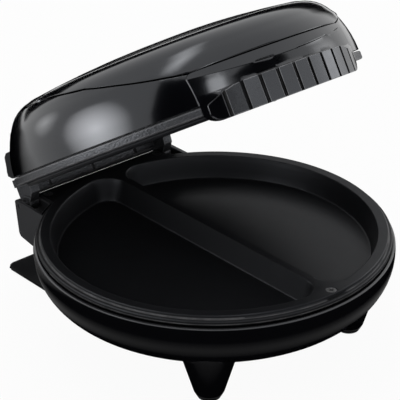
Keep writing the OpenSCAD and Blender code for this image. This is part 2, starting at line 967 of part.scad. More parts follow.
// Lid ring with the hinge ears and the notched bar behind
module lid_frame() {
    swung()
        color([0.13, 0.13, 0.135])
            difference() {
                union() {
                    rotate_extrude($fn = seg)
                        polygon([
                            [ring_in_r, ring_z], [body_r - 0.6, ring_z], [body_r, ring_z + 0.6],
                            [body_r, ring_z + ring_h - 0.5], [body_r - 0.5, ring_z + ring_h],
                            [lip_out_r, ring_z + ring_h], [lip_out_r, dome_z + 3],
                            [lip_out_r - lip_in_t, dome_z + 3],
                            [lip_out_r - lip_in_t, ring_z + ring_h],
                            [ring_in_r, ring_z + ring_h]
                        ]);
                    // Straight back edge above the hinge
                    difference() {
                        translate([-frame_x, body_r - 40, ring_z])
                            cube([2 * frame_x, lid_hinge_y + ear_r - body_r + 40, ring_h]);
                        translate([0, 0, ring_z - 1])
                            cylinder(h = ring_h + 2, r = ring_in_r + 1, $fn = seg);
                    }
                    frame_tabs();
                    both_sides()
                        lid_ear();
                    hinge_bar();
                }
                both_sides()
                    translate([ear_in_x - 1, lid_hinge_y, hinge_z])
                        rotate([0, 90, 0])
                            cylinder(h = ear_w + 2, r = pin_r + pin_room, $fn = small_seg);
                at_lid_screws() {
                    translate([0, 0, ring_z - 1])
                        cylinder(h = 12, r = lid_screw_hole_r, $fn = small_seg);
                    translate([0, 0, ring_z - 1])
                        cylinder(h = lid_tab_z - ring_z + 1, r = 2.5, $fn = small_seg);
                    translate([0, 0, dome_z])
                        cylinder(h = 6, r = lid_post_r + 0.3, $fn = small_seg);
                }
                for (s = [-1, 1])
                    translate([0, s * upper_lug_y, ring_z])
                        cylinder(h = 12, r = screw_r, $fn = small_seg);
                handle_screw_holes();
            }
}

frame_x = 59;

// Lugs on the inside of the ring: small ones under the dome's posts, large ones for the plate
module frame_tabs() {
    difference() {
        at_lid_screws()
            translate([0, 0, lid_tab_z])
                cylinder(h = dome_z - lid_tab_z, r = lid_post_r + 0.6, $fn = small_seg);
        translate([0, 0, ring_z])
            cylinder(h = 10, r = pocket_r + plate_t + 0.4, $fn = seg);
        difference() {
            translate([0, 0, ring_z + ring_h])
                cylinder(h = 10, r = body_r + 5, $fn = seg);
            translate([0, 0, ring_z + ring_h - 1])
                cylinder(h = 12, r = lip_out_r, $fn = seg);
        }
    }
    for (s = [-1, 1])
        translate([-5, s > 0 ? upper_lug_y - 4.6 : -ring_in_r - 1, ring_z + ring_h])
            cube([10, ring_in_r - upper_lug_y + 5.6, 2.4]);
}

// Repeats a piece, drawn on the Z axis, at each screw between ring and dome
module at_lid_screws() {
    for (a = lid_screw_angles)
        rotate([0, 0, a])
            translate([lid_screw_r, 0, 0])
                children();
}

module lid_ear() {
    slab(ear_in_x, ear_in_x + ear_w)
        polygon([
            [body_r - 6, ring_z + 1], [lid_hinge_y + ear_r, ring_z + 1], [lid_hinge_y + ear_r, hinge_z],
            [lid_hinge_y, hinge_z], [lid_hinge_y - ear_r, hinge_z], [body_r - 4.6, hinge_z + 5]
        ]);
    translate([ear_in_x, lid_hinge_y, hinge_z])
        rotate([0, 90, 0])
            cylinder(h = ear_w, r = ear_r, $fn = 36);
}

// Bar between the ears, with a curved skirt that closes the gap behind the rear deck
module hinge_bar() {
    difference() {
        union() {
            translate([-bar_x, lid_hinge_y + ear_r - 3.7, ring_z - 5.2])
                cube([2 * bar_x, 3.7, 5.7]);
            intersection() {
                translate([-bar_x, lid_hinge_y, hinge_z])
                    rotate([0, 90, 0])
                        difference() {
                            cylinder(h = 2 * bar_x, r = skirt_out_r, $fn = 72);
                            translate([0, 0, -1])
                                cylinder(h = 2 * bar_x + 2, r = skirt_in_r, $fn = 72);
                        }
                slab(-bar_x, bar_x)
                    polygon([
                        [lid_hinge_y, hinge_z],
                        [lid_hinge_y + 20 * cos(skirt_low_deg), hinge_z + 20 * sin(skirt_low_deg)],
                        [lid_hinge_y + 20 * cos(80), hinge_z + 20 * sin(80)]
                    ]);
            }
        }
        for (x = [-35, 0, 35])
            translate([x - 1, lid_hinge_y, ring_z - 6])
                cube([2, 10, 6]);
    }
}

bar_x = ear_in_x + 0.5;
skirt_in_r = 5.9;
skirt_out_r = 8.3;
skirt_low_deg = 38;

// Handle

// A disc seen from above whose foremost point lies at Y = -front
module handle_plan(r, front) {
    translate([0, r - front])
        circle(r = r, $fn = seg);
}

// Outline seen from the front: its top corners are tx by tz, its bottom corners bx by bz
module front_outline(x, low, top, tx, tz, bx, bz) {
    polygon(concat(
        [for (a = [0:15:90]) [x - tx + tx * cos(a), top - tz + tz * sin(a)]],
        [for (a = [90:15:180]) [-x + tx + tx * cos(a), top - tz + tz * sin(a)]],
        [for (a = [180:15:270]) [-x + bx + bx * cos(a), low + bz + bz * sin(a)]],
        [for (a = [270:15:360]) [x - bx + bx * cos(a), low + bz + bz * sin(a)]]
    ));
}

// Pushes a front outline back through the whole handle
module through_handle() {
    translate([0, -grip_front + 60, 0])
        rotate([90, 0, 0])
            linear_extrude(height = 80)
                children();
}

module handle_body() {
    swung()
        color([0.1, 0.1, 0.105])
            difference() {
                intersection() {
                    union() {
                        handle_skin();
                        handle_brow();
                        handle_bow();
                    }
                    through_handle()
                        front_outline(handle_x, grip_low, brow_top_z, 4, 3, 9, 7);
                }
                dome_solid(0.02, ring_z + ring_h - 5);
                translate([0, 0, ring_z - 12])
                    cylinder(h = 12 + ring_h + 0.9, r = body_r + 0.02, $fn = seg);
                // Bed of the grip
                intersection() {
                    translate([0, 0, grip_low - 1])
                        linear_extrude(height = grip_top - grip_low + 2)
                            difference() {
                                translate([-handle_x, -grip_front - 20])
                                    square([2 * handle_x, 60]);
                                handle_plan(grip_r - grip_t, grip_front - grip_t);
                            }
                    through_handle()
                        grip_outline();
                }
                handle_screw_holes();
            }
}

// Thin wall that follows the dome
module handle_skin() {
    intersection() {
        dome_solid(skin_t, ring_z + ring_h);
        translate([-handle_x, -body_r - 10, ring_z + ring_h])
            cube([2 * handle_x, 60, brow_z + 5 - ring_z - ring_h]);
    }
}

// Brow over the scoop: its lower edge bends up towards both ends
module handle_brow() {
    intersection() {
        translate([0, 0, brow_z])
            cylinder(h = brow_top_z - brow_z, r1 = body_r - 0.1, r2 = body_r - 3, $fn = seg);
        translate([0, 10, brow_z + brow_arc_r])
            rotate([90, 0, 0])
                cylinder(h = body_r + 30, r = brow_arc_r, $fn = 360);
        translate([-handle_x, -body_r - 10, brow_z - 1])
            cube([2 * handle_x, 60, 20]);
    }
}

// Bow behind the grip, hollowed above for the thumb
module handle_bow() {
    tall = brow_z - bow_top_z;
    translate([0, bow_r - bow_front, 0])
        rotate([0, 0, 180])
            rotate_extrude(angle = 180, $fn = seg)
                polygon(concat(
                    [[bow_r - 30, grip_low], [bow_r - 0.8, grip_low], [bow_r, grip_low + 0.8],
                     [bow_r, bow_top_z - 2.5], [bow_r - 0.8, bow_top_z]],
                    [for (a = [0:15:90]) [bow_r - 0.8 - scoop_deep * sin(a), brow_z - tall * cos(a)]],
                    [[bow_r - 30, brow_z]]
                ));
}

// Ribbed strip: flat ribs with grooves between, closed by smooth ends
function rib_points(i) =
    let (
        a0 = (i - ribs / 2) * rib_pitch,
        a1 = a0 + rib_pitch,
        half = rib_gap / 2 / grip_r * 180 / PI,
        in_r = grip_r - rib_deep
    )
    [
        [in_r * sin(a0), -in_r * cos(a0)],
        [in_r * sin(a0 + half), -in_r * cos(a0 + half)],
        [grip_r * sin(a0 + half), -grip_r * cos(a0 + half)],
        [grip_r * sin(a1 - half), -grip_r * cos(a1 - half)],
        [in_r * sin(a1 - half), -in_r * cos(a1 - half)],
        [in_r * sin(a1), -in_r * cos(a1)]
    ];

module grip_plan() {
    first = ribs / 2 * rib_pitch + rib_gap / 2 / grip_r * 180 / PI;
    front = concat(
        [for (a = [-grip_end:(grip_end - first) / 3:-first + 0.01]) [grip_r * sin(a), -grip_r * cos(a)]],
        [for (i = [0:ribs - 1]) each rib_points(i)],
        [for (a = [first:(grip_end - first) / 3:grip_end + 0.01]) [grip_r * sin(a), -grip_r * cos(a)]]
    );
    back_r = grip_r - grip_t + 0.05;
    back = [for (a = [grip_end:-grip_end / 24:-grip_end - 0.01]) [back_r * sin(a), -back_r * cos(a)]];
    translate([0, grip_r - grip_front])
        polygon(concat(front, back));
}

// The grip's outline from the front: its top slopes down to both ends
module grip_outline() {
    corner = [[0, 7.4], [0.8, 5.8], [9, 2], [14, 0.5], [19, 0]];
    polygon(concat(
        [for (p = corner) [grip_x - p[0], grip_top - p[1]]],
        [for (i = [4:-1:0]) [-grip_x + corner[i][0], grip_top - corner[i][1]]],
        [for (a = [180:15:270]) [-grip_x + 6 + 6 * cos(a), grip_low + 5.5 + 5.5 * sin(a)]],
        [for (a = [270:15:360]) [grip_x - 6 + 6 * cos(a), grip_low + 5.5 + 5.5 * sin(a)]]
    ));
}

module handle_grip() {
    swung()
        color([0.16, 0.16, 0.165])
            difference() {
                intersection() {
                    translate([0, 0, grip_low])
                        linear_extrude(height = grip_top - grip_low)
                            grip_plan();
                    through_handle()
                        grip_outline();
                }
                translate([0, 0, ring_z - 12])
                    cylinder(h = 12 + ring_h + 0.9, r = body_r + 0.1, $fn = seg);
                dome_solid(0.1, ring_z + ring_h - 1);
            }
}

module handle_screws() {
    swung()
        color([0.6, 0.6, 0.62])
            for (s = [-1, 1])
                translate([s * grip_screw_x, -grip_screw_y, grip_screw_z])
                    rotate([90, 0, 0]) {
                        translate([0, 0, -1.6])
                            cylinder(h = 1.6, r = 2.8, $fn = small_seg);
                        cylinder(h = 8, r = 1.2, $fn = small_seg);
                    }
}

module handle_screw_holes() {
    for (s = [-1, 1])
        translate([s * grip_screw_x, -grip_screw_y + 2, grip_screw_z])
            rotate([90, 0, 0])
                cylinder(h = 10.2, r = 1.25, $fn = small_seg);
}

module lid_stands() {
    swung()
        color([0.11, 0.11, 0.115])
            difference() {
                both_sides()
                    slab(stand_x - 10, stand_x)
                        polygon([
                            [body_r - 30, ring_z + ring_h + 1], [body_r + 8, ring_z + ring_h + 1],
                            [body_r + 11.4, ring_z + ring_h + 3], [body_r + 12.4, ring_z + 8],
                            [body_r + 11.6, ring_z + 12.5], [body_r + 9, ring_z + 20.5],
                            [body_r + 6, ring_z + 22.6], [body_r - 30, ring_z + 23.4]
                        ]);
                dome_solid(0, ring_z - 5);
            }
}

stand_x = 59.4;

// Upper plate, drawn shut with its cooking face down

module upper_plate() {
    swung()
        color([0.15, 0.15, 0.16])
            difference() {
                union() {
                    rotate_extrude($fn = seg)
                        polygon([
                            [0, upper_face_z + flange_t], [upper_flange_r, upper_face_z + flange_t],
                            [upper_flange_r, upper_face_z + 0.5], [upper_flange_r - 0.5, upper_face_z],
                            [0, upper_face_z]
                        ]);
                    translate([0, 0, upper_face_z])
                        mirror([0, 0, 1])
                            plate_pans(upper_depth);
                    // Lugs that hook over the inside of the ring
                    for (p = upper_lugs)
                        translate([p[0], p[1], upper_face_z + flange_t - 1])
                            cylinder(h = ring_z + ring_h - upper_face_z - flange_t + 1, r = upper_lug_r,
                                $fn = small_seg);
                    shield_posts(upper_under_z, 1, upper_shield_z - upper_under_z - shield_t);
                }
                translate([0, 0, upper_face_z])
                    mirror([0, 0, 1])
                        plate_pockets(upper_depth);
                for (p = upper_lugs)
                    translate([p[0], p[1], upper_face_z])
                        mirror([0, 0, 1])
                            screw_hole(16);
                for (s = [-1, 1])
                    translate([s * post_x, post_y, upper_shield_z - 9])
                        cylinder(h = 10, r = 1.2, $fn = small_seg);
            }
}

upper_lug_y = screw_y - 2;
upper_lug_r = 4.6;
upper_lugs = [[0, -upper_lug_y], [0, upper_lug_y]];

module upper_plate_screws() {
    swung()
        color([0.2, 0.2, 0.21])
            for (p = upper_lugs)
                translate([p[0], p[1], upper_face_z + 0.3])
                    mirror([0, 0, 1])
                        screw(11.5);
}

module upper_heater() {
    swung()
        color([0.42, 0.4, 0.38])
            translate([0, 0, upper_heat_z])
                tube_heater(1);
}

module upper_shield() {
    swung()
        color([0.68, 0.68, 0.7])
            translate([0, 0, upper_shield_z])
                shield(1);
}

module upper_shield_screws() {
    swung()
        color([0.6, 0.6, 0.62])
            for (s = [-1, 1])
                translate([s * post_x, post_y, upper_shield_z])
                    pan_screw(1);
}

module lid_frame_screws() {
    swung()
        color([0.6, 0.6, 0.62])
            at_lid_screws() {
                translate([0, 0, lid_tab_z - 1.4])
                    cylinder(h = 1.4, r = 2.1, $fn = small_seg);
                translate([0, 0, lid_tab_z])
                    cylinder(h = 9, r = 1.18, $fn = small_seg);
            }
}

module light_lens() {
    rotate_extrude($fn = 24)
        polygon([[0, -4], [light_r - 0.2, -4], [light_r - 0.2, 0.1], [light_r - 0.8, 0.4], [0, 0.6]]);
}

module power_light() {
    swung()
        color([0.65, 0.06, 0.04])
            translate([-light_x, light_y, light_z])
                light_lens();
}

module ready_light() {
    swung()
        color([0.08, 0.5, 0.12])
            translate([light_x, light_y, light_z])
                light_lens();
}

module lamp_holder() {
    swung()
        color([0.85, 0.84, 0.78])
            translate([0, light_y, lamp_top_z])
                difference() {
                    translate([-16, -6, -5])
                        cube([32, 12, 5]);
                    for (s = [-1, 1])
                        translate([s * light_x, 0, -4])
                            cylinder(h = 6, r = 2.2, $fn = small_seg);
                }
}

module lid_leads() {
    swung()
        color([0.75, 0.72, 0.65]) {
            for (s = [-1, 1])
                lead([[s * 22, heat_lead_y + 3, ring_z + 30],
                    [s * heat_end_x, heat_lead_y, upper_heat_z + 12],
                    [s * heat_end_x, heat_lead_y, upper_heat_z + 5.3]], lead_r);
            for (s = [-1, 1])
                lead([[s * heat_end_x, heat_lead_y - 2, upper_heat_z + 12],
                    [s * 6, heat_lead_y - 7, ring_z + 33],
                    [s * light_x, light_y + 2, lamp_top_z - 6.6]], lead_r);
        }
}

base_shell();
front_feet();
rear_legs();
foot_pads();
foot_screws();
lower_plate();
lower_heater();
lower_heater_clamps();
lower_shield();
lower_shield_screws();
lower_plate_screws();
thermostat();
thermal_fuse();
terminal_block();
base_leads();
cord_bush();
hinge_pins();
lead_tube();
lid_shell();
lid_hood();
lid_frame();
handle_body();
handle_grip();
handle_screws();
lid_stands();
upper_plate();
upper_heater();
upper_heater_clamps();
upper_shield();
upper_shield_screws();
upper_plate_screws();
lid_frame_screws();
power_light();
ready_light();
lamp_holder();
lid_leads();
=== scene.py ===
import json
import math

import bmesh
import bpy
from bpy.props import FloatProperty, FloatVectorProperty, PointerProperty
from mathutils import Matrix, Vector

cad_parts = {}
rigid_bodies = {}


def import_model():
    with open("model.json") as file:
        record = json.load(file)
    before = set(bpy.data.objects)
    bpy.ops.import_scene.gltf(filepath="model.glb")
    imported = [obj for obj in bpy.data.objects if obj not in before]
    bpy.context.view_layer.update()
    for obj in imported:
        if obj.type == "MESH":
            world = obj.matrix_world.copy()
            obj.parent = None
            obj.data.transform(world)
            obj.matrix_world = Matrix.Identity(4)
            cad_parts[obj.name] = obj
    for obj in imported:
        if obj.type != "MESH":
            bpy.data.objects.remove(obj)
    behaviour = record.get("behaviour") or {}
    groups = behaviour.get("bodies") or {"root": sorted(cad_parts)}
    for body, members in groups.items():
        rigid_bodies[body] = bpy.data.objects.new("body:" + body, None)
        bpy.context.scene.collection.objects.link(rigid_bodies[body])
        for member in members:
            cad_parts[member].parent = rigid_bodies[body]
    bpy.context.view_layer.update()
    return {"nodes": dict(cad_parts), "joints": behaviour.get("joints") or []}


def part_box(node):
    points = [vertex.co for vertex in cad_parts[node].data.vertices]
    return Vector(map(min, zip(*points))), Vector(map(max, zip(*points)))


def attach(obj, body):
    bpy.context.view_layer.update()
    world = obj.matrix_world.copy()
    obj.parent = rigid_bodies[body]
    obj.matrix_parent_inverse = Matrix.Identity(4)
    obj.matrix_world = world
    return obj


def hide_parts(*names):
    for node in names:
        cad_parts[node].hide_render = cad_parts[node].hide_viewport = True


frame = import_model()

bl_info = {
    "name": "Electric omelette maker",
    "version": (1, 0, 0),
    "blender": (4, 5, 0),
    "location": "3D View > Sidebar > Cooker",
    "description": "Dresses a round omelette maker: mouldings, finishes, studio and camera",
    "category": "Object",
}


# Places on the model, in metres, for sorting faces by finish, and for the painted highlight on
# the bowl's rim and the painted shade in the grip's grooves

BOWL_CENTRE_Y = -0.0142
BOX_FRONT_Y = 0.05
BOX_RADIUS = 0.1115
RIM_LOW_Z = 0.059
RIM_RADIUS = 0.1075
LIP_RADIUS = 0.1045
GRIP_CENTRE_Y = -0.0493
GRIP_RIBBED_X = 0.0474
GRIP_BACK_RADIUS = 0.0815
GROOVE_FLOOR_RADIUS = 0.0837

# Upward parts of a face's normal on the rim's rounding, which takes a painted highlight, and at
# the grip's top and bottom

RIM_SLOPE = (0.3, 0.95)
GRIP_TOP_SLOPE = 0.6
RIB_FACE_OUTWARD = 0.8

# Mesh work: distances in metres, angles in degrees

MERGE_WITHIN = 4e-6
FLAT_WITHIN = 0.6
ANY_SHAPE = 179
SMOOTH_BELOW = 32
ROUND_ABOVE = 24
BEVEL_STEPS = 2
NORMAL_WEIGHT = 60

# Shortest edges that take a rounding, as shares of its width

SHORTEST_EDGE = 0.6
SHORTEST_NEIGHBOUR = 1.3

# Finishes and stage

COOL_TINT = (0.88, 0.92, 1, 1)
WHITE = (1, 1, 1, 1)
FLOOR_HALF = 6.0
FLOOR_DROP = 0.0002
FLOOR_COLOUR = (0.9, 0.9, 0.9, 1)
FLOOR_WHITE_SHARE = 0.95


# Sizes and colours


def colour(name, description, value):
    return FloatVectorProperty(
        name=name, description=description, subtype="COLOR", size=3, min=0, max=1, default=value
    )


def length(name, description, value):
    return FloatProperty(
        name=name, description=description, unit="LENGTH", min=0, default=value, precision=5
    )


def amount(name, description, value):
    return FloatProperty(name=name, description=description, min=0, default=value)


class CookerColours(bpy.types.PropertyGroup):
    """Colours of the mouldings, metals and sleeves"""

    bowl: colour("Bowl", "Gloss black of the bowl, feet and legs", (0.0034, 0.0035, 0.0044))
    dome: colour("Dome", "Gloss black of the lid's dome and hood", (0.0021, 0.0023, 0.0033))
    band: colour("Band", "Grained black of the lid's ring", (0.03, 0.03, 0.0325))
    grip: colour("Grip", "Satin black of the ribbed grip", (0.006, 0.006, 0.0066))
    coat: colour("Coat", "Charcoal non-stick coat of the plates", (0.0155, 0.016, 0.018))
    lip: colour("Lip", "Blasted outer lip of the lower plate", (0.012, 0.012, 0.013))
    rubber: colour("Rubber", "Soft pads under the feet", (0.012, 0.012, 0.012))
    steel: colour("Steel", "Straps and screws", (0.46, 0.46, 0.47))
    tube: colour("Heater tube", "Dull sheath of the heaters", (0.16, 0.15, 0.14))
    shield: colour("Shield", "Pressed aluminium dishes", (0.55, 0.55, 0.57))
    sleeve: colour("Sleeve", "Woven glass sleeve of the leads", (0.55, 0.51, 0.43))
    block: colour("Block", "Off-white terminal block and lamp holder", (0.66, 0.63, 0.55))


class CookerRounding(bpy.types.PropertyGroup):
    """Widths of the rounded edges"""

    shell: length("Shell", "Rounding of the bowl, legs and lid stops", 0.0008)
    seam: length("Seam", "Rounding along the dome's seams", 0.00035)
    ring: length("Ring", "Rounding of the lid ring's edges", 0.0005)
    grip: length("Grip", "Rounding of the grip's ribs; the handle has twice as much", 0.00045)
    plate: length("Plate", "Rounding of the pockets' edges", 0.0009)


class CookerStudio(bpy.types.PropertyGroup):
    """Levels of the lamp, the room and the glowing cards"""

    key: FloatProperty(
        name="Key", description="Power of the lamp overhead", default=5, min=0, unit="POWER"
    )
    side: amount("Side", "Level of the glow at the left", 9.5)
    rear: amount("Rear", "Level of the glow behind", 3.2)
    hood: amount("Hood", "Level of the glow over the hood", 5.5)
    scoop: amount("Scoop", "Level of the glow in the thumb scoop", 5)
    right: amount("Right", "Level of the glow at the right", 4)
    # Ring: the grey soft edge of the painted shadow under the bowl
    ring: amount("Ring", "Level of the faint ring on the floor", 0.28)
    air: amount("Air", "Strength of the room's own light", 0.5)


def settings():
    return bpy.context.scene.cooker


# Shader groups


def new_group(name, inputs, outputs):
    tree = bpy.data.node_groups.new(name, "ShaderNodeTree")
    for label, kind, value in inputs:
        socket = tree.interface.new_socket(
            label, in_out="INPUT", socket_type="NodeSocket" + kind
        )
        if value is not None:
            socket.default_value = value
    for label, kind in outputs:
        tree.interface.new_socket(label, in_out="OUTPUT", socket_type="NodeSocket" + kind)
    return tree, tree.nodes.new("NodeGroupInput"), tree.nodes.new("NodeGroupOutput")


def maths(tree, operation, first, second=None, third=None, clamp=False):
    node = tree.nodes.new("ShaderNodeMath")
    node.operation = operation
    node.use_clamp = clamp
    for i, value in enumerate((first, second, third)):
        if value is None:
            continue
        if isinstance(value, (int, float)):
            node.inputs[i].default_value = value
        else:
            tree.links.new(value, node.inputs[i])
    return node.outputs[0]


def noise(tree, vector, scale, detail=3.0, rough=0.55):
    node = tree.nodes.new("ShaderNodeTexNoise")
    node.inputs["Detail"].default_value = detail
    node.inputs["Roughness"].default_value = rough
    tree.links.new(vector, node.inputs["Vector"])
    if isinstance(scale, (int, float)):
        node.inputs["Scale"].default_value = scale
    else:
        tree.links.new(scale, node.inputs["Scale"])
    return node.outputs["Fac"]


def mould_group():
    """Slow drift of colour and gloss over a moulding, with small specks of dust"""
    tree, given, out = new_group(
        "Moulding drift",
        [
            ("Vector", "Vector", None),
            ("Colour", "Color", (0.1, 0.1, 0.1, 1)),
            ("Drift", "Float", 0.2),
            ("Gloss", "Float", 0.2),
            ("Marks", "Float", 0.1),
            ("Dust", "Float", 0.02),
        ],
        [("Colour", "Color"), ("Roughness", "Float")],
    )
    speck_size, rare_above, dust_dulls = 0.09, 0.62, 4.0
    where = given.outputs["Vector"]
    slow = noise(tree, where, scale=26.0, detail=2.0)
    fine = noise(tree, where, scale=210.0, rough=0.65)
    patches = noise(tree, where, scale=95.0, detail=1.0)
    speck = tree.nodes.new("ShaderNodeTexVoronoi")
    speck.inputs["Scale"].default_value = 420.0
    tree.links.new(where, speck.inputs["Vector"])
    near = maths(tree, "LESS_THAN", speck.outputs["Distance"], speck_size)
    rare = maths(tree, "GREATER_THAN", patches, rare_above)
    dust = maths(tree, "MULTIPLY", maths(tree, "MULTIPLY", near, rare), given.outputs["Dust"])
    swing = maths(
        tree, "MULTIPLY", maths(tree, "SUBTRACT", slow, 0.5), given.outputs["Drift"]
    )
    drifted = tree.nodes.new("ShaderNodeVectorMath")
    drifted.operation = "SCALE"
    tree.links.new(given.outputs["Colour"], drifted.inputs[0])
    tree.links.new(maths(tree, "ADD", swing, 1.0), drifted.inputs["Scale"])
    dusty = tree.nodes.new("ShaderNodeVectorMath")
    dusty.operation = "ADD"
    tree.links.new(drifted.outputs[0], dusty.inputs[0])
    tree.links.new(dust, dusty.inputs[1])
    tree.links.new(dusty.outputs[0], out.inputs["Colour"])
    marks = maths(
        tree, "MULTIPLY", maths(tree, "SUBTRACT", fine, 0.5), given.outputs["Marks"]
    )
    rough = maths(tree, "ADD", given.outputs["Gloss"], marks)
    rough = maths(tree, "ADD", rough, maths(tree, "MULTIPLY", dust, dust_dulls), clamp=True)
    tree.links.new(rough, out.inputs["Roughness"])
    return tree


def grain_group():
    """Height of a moulded or cast grain: rounded pebbles with a finer tooth on them"""
    tree, given, out = new_group(
        "Surface grain",
        [
            ("Vector", "Vector", None),
            ("Pebble scale", "Float", 900.0),
            ("Pebble", "Float", 0.5),
            ("Tooth", "Float", 0.5),
        ],
        [("Height", "Float")],
    )
    tooth_to_pebble = 2.7
    where, scale = given.outputs["Vector"], given.outputs["Pebble scale"]
    cells = tree.nodes.new("ShaderNodeTexVoronoi")
    cells.feature = "SMOOTH_F1"
    cells.inputs["Smoothness"].default_value = 0.6
    tree.links.new(where, cells.inputs["Vector"])
    tree.links.new(scale, cells.inputs["Scale"])
    inside = maths(tree, "SUBTRACT", 1.0, cells.outputs["Distance"])
    pebble = maths(tree, "MULTIPLY", inside, given.outputs["Pebble"])
    finer = maths(tree, "MULTIPLY", scale, tooth_to_pebble)
    tooth = maths(
        tree, "MULTIPLY", noise(tree, where, finer, detail=2.0), given.outputs["Tooth"]
    )
    tree.links.new(maths(tree, "ADD", pebble, tooth), out.inputs["Height"])
    return tree


def wear_and_highlight_group():
    """Lightens and dulls a rounded edge in patches: where hands and cloths rub it, and on the
    bowl's rim and the grip's ribs as a painted highlight
    """
    tree, given, out = new_group(
        "Edge wear",
        [
            ("Vector", "Vector", None),
            ("Edge", "Float", 0.0),
            ("Colour", "Color", (0.1, 0.1, 0.1, 1)),
            ("Worn colour", "Color", (0.2, 0.2, 0.2, 1)),
            ("Amount", "Float", 0.4),
            ("Roughness", "Float", 0.3),
        ],
        [("Colour", "Color"), ("Roughness", "Float")],
    )
    contrast, threshold, wear_dulls = 1.6, -0.25, 0.15
    patch = noise(tree, given.outputs["Vector"], scale=130.0)
    patchy = maths(tree, "MULTIPLY_ADD", patch, contrast, threshold, clamp=True)
    on_edge = maths(tree, "MULTIPLY", patchy, given.outputs["Edge"])
    mask = maths(tree, "MULTIPLY", on_edge, given.outputs["Amount"])
    mix = tree.nodes.new("ShaderNodeMix")
    mix.data_type = "RGBA"
    tree.links.new(mask, mix.inputs["Factor"])
    tree.links.new(given.outputs["Colour"], mix.inputs["A"])
    tree.links.new(given.outputs["Worn colour"], mix.inputs["B"])
    tree.links.new(mix.outputs["Result"], out.inputs["Colour"])
    rough = maths(
        tree, "MULTIPLY_ADD", mask, wear_dulls, given.outputs["Roughness"], clamp=True
    )
    tree.links.new(rough, out.inputs["Roughness"])
    return tree


def weave_group():
    """Crossed threads of a woven sleeve"""
    tree, given, out = new_group(
        "Sleeve weave",
        [("Vector", "Vector", None), ("Threads", "Float", 1400.0)],
        [("Height", "Float")],
    )
    thread_turn = 0.7
    ways = []
    for turn in (thread_turn, -thread_turn):
        turned = tree.nodes.new("ShaderNodeMapping")
        turned.inputs["Rotation"].default_value = (0.3, 0.2, turn)
        tree.links.new(given.outputs["Vector"], turned.inputs["Vector"])
        wave = tree.nodes.new("ShaderNodeTexWave")
        wave.inputs["Distortion"].default_value = 0.6
        tree.links.new(turned.outputs["Vector"], wave.inputs["Vector"])
        tree.links.new(given.outputs["Threads"], wave.inputs["Scale"])
        ways.append(wave.outputs["Fac"])
    tree.links.new(maths(tree, "MAXIMUM", *ways), out.inputs["Height"])
    return tree


GROUP_MAKERS = {
    "Moulding drift": mould_group,
    "Surface grain": grain_group,
    "Edge wear": wear_and_highlight_group,
    "Sleeve weave": weave_group,
}


def place(tree, name, **values):
    """Puts a shader group into a material's tree, built the first time it is asked for"""
    node = tree.nodes.new("ShaderNodeGroup")
    node.node_tree = bpy.data.node_groups.get(name) or GROUP_MAKERS[name]()
    for label, value in values.items():
        socket = node.inputs[label.replace("_", " ")]
        if isinstance(value, bpy.types.NodeSocket):
            tree.links.new(value, socket)
        else:
            socket.default_value = value
    return node


# Materials


def finish(
    name,
    base,
    rough,
    drift=0.25,
    marks=0.06,
    dust=0.0,
    pebble_scale=1500.0,
    pebble=0.3,
    tooth=0.5,
    weave=None,
    bump=0.1,
    depth=0.00004,
    worn=None,
    wear=0.0,
    metallic=0.0,
    specular=0.5,
    coat=0.0,
    coat_rough=0.05,
    aniso=0.0,
    transmission=0.0,
):
    """A finish with colour drift, gloss marks, grain or weave, and lighter rounded edges:
    rubbed wear, and on some finishes a painted highlight
    """
    found = bpy.data.materials.get(name)
    if found:
        return found
    material = bpy.data.materials.new(name)
    material.use_nodes = True
    tree = material.node_tree
    shader = tree.nodes["Principled BSDF"]
    where = tree.nodes.new("ShaderNodeTexCoord").outputs["Object"]
    drifted = place(
        tree, "Moulding drift", Vector=where, Colour=(*base, 1), Drift=drift, Gloss=rough,
        Marks=marks, Dust=dust,
    )
    shade, gloss = drifted.outputs["Colour"], drifted.outputs["Roughness"]
    # Lighter colour on rounded edges: rubbed wear, and on the rim and the grip a painted
    # highlight
    if worn is not None:
        edge = tree.nodes.new("ShaderNodeAttribute")
        edge.attribute_name = "edge"
        rubbed = place(
            tree, "Edge wear", Vector=where, Edge=edge.outputs["Fac"], Colour=shade,
            Worn_colour=(*worn, 1), Amount=wear, Roughness=gloss,
        )
        shade, gloss = rubbed.outputs["Colour"], rubbed.outputs["Roughness"]
    tree.links.new(shade, shader.inputs["Base Color"])
    tree.links.new(gloss, shader.inputs["Roughness"])
    if weave:
        relief = place(tree, "Sleeve weave", Vector=where, Threads=weave)
    else:
        relief = place(
            tree, "Surface grain", Vector=where, Pebble_scale=pebble_scale, Pebble=pebble,
            Tooth=tooth,
        )
    bumps = tree.nodes.new("ShaderNodeBump")
    bumps.inputs["Strength"].default_value = bump
    bumps.inputs["Distance"].default_value = depth
    tree.links.new(relief.outputs["Height"], bumps.inputs["Height"])
    tree.links.new(bumps.outputs["Normal"], shader.inputs["Normal"])
    shader.inputs["Metallic"].default_value = metallic
    shader.inputs["Specular IOR Level"].default_value = specular
    if not metallic:
        shader.inputs["Specular Tint"].default_value = COOL_TINT
    shader.inputs["Coat Weight"].default_value = coat
    shader.inputs["Coat Roughness"].default_value = coat_rough
    shader.inputs["Anisotropic"].default_value = aniso
    shader.inputs["Transmission Weight"].default_value = transmission
    return material


def bowl_black():
    return finish(
        "gloss black bowl", settings().colours.bowl, rough=0.3, marks=0.05, dust=0.004,
        bump=0.05, specular=0.0, coat=0.5, coat_rough=0.08, worn=(0.05, 0.05, 0.053), wear=0.35,
    )


def rim_painted_highlight():
    # Painted highlight: the light edge colour on the rim's rounding stands in for the light
    # that it catches, broken into patches by the wear noise
    return finish(
        "rubbed rim", (0.02, 0.02, 0.021), rough=0.22, marks=0.05, bump=0.05, specular=0.5,
        coat=0.5, worn=(0.3, 0.3, 0.31), wear=1.3,
    )


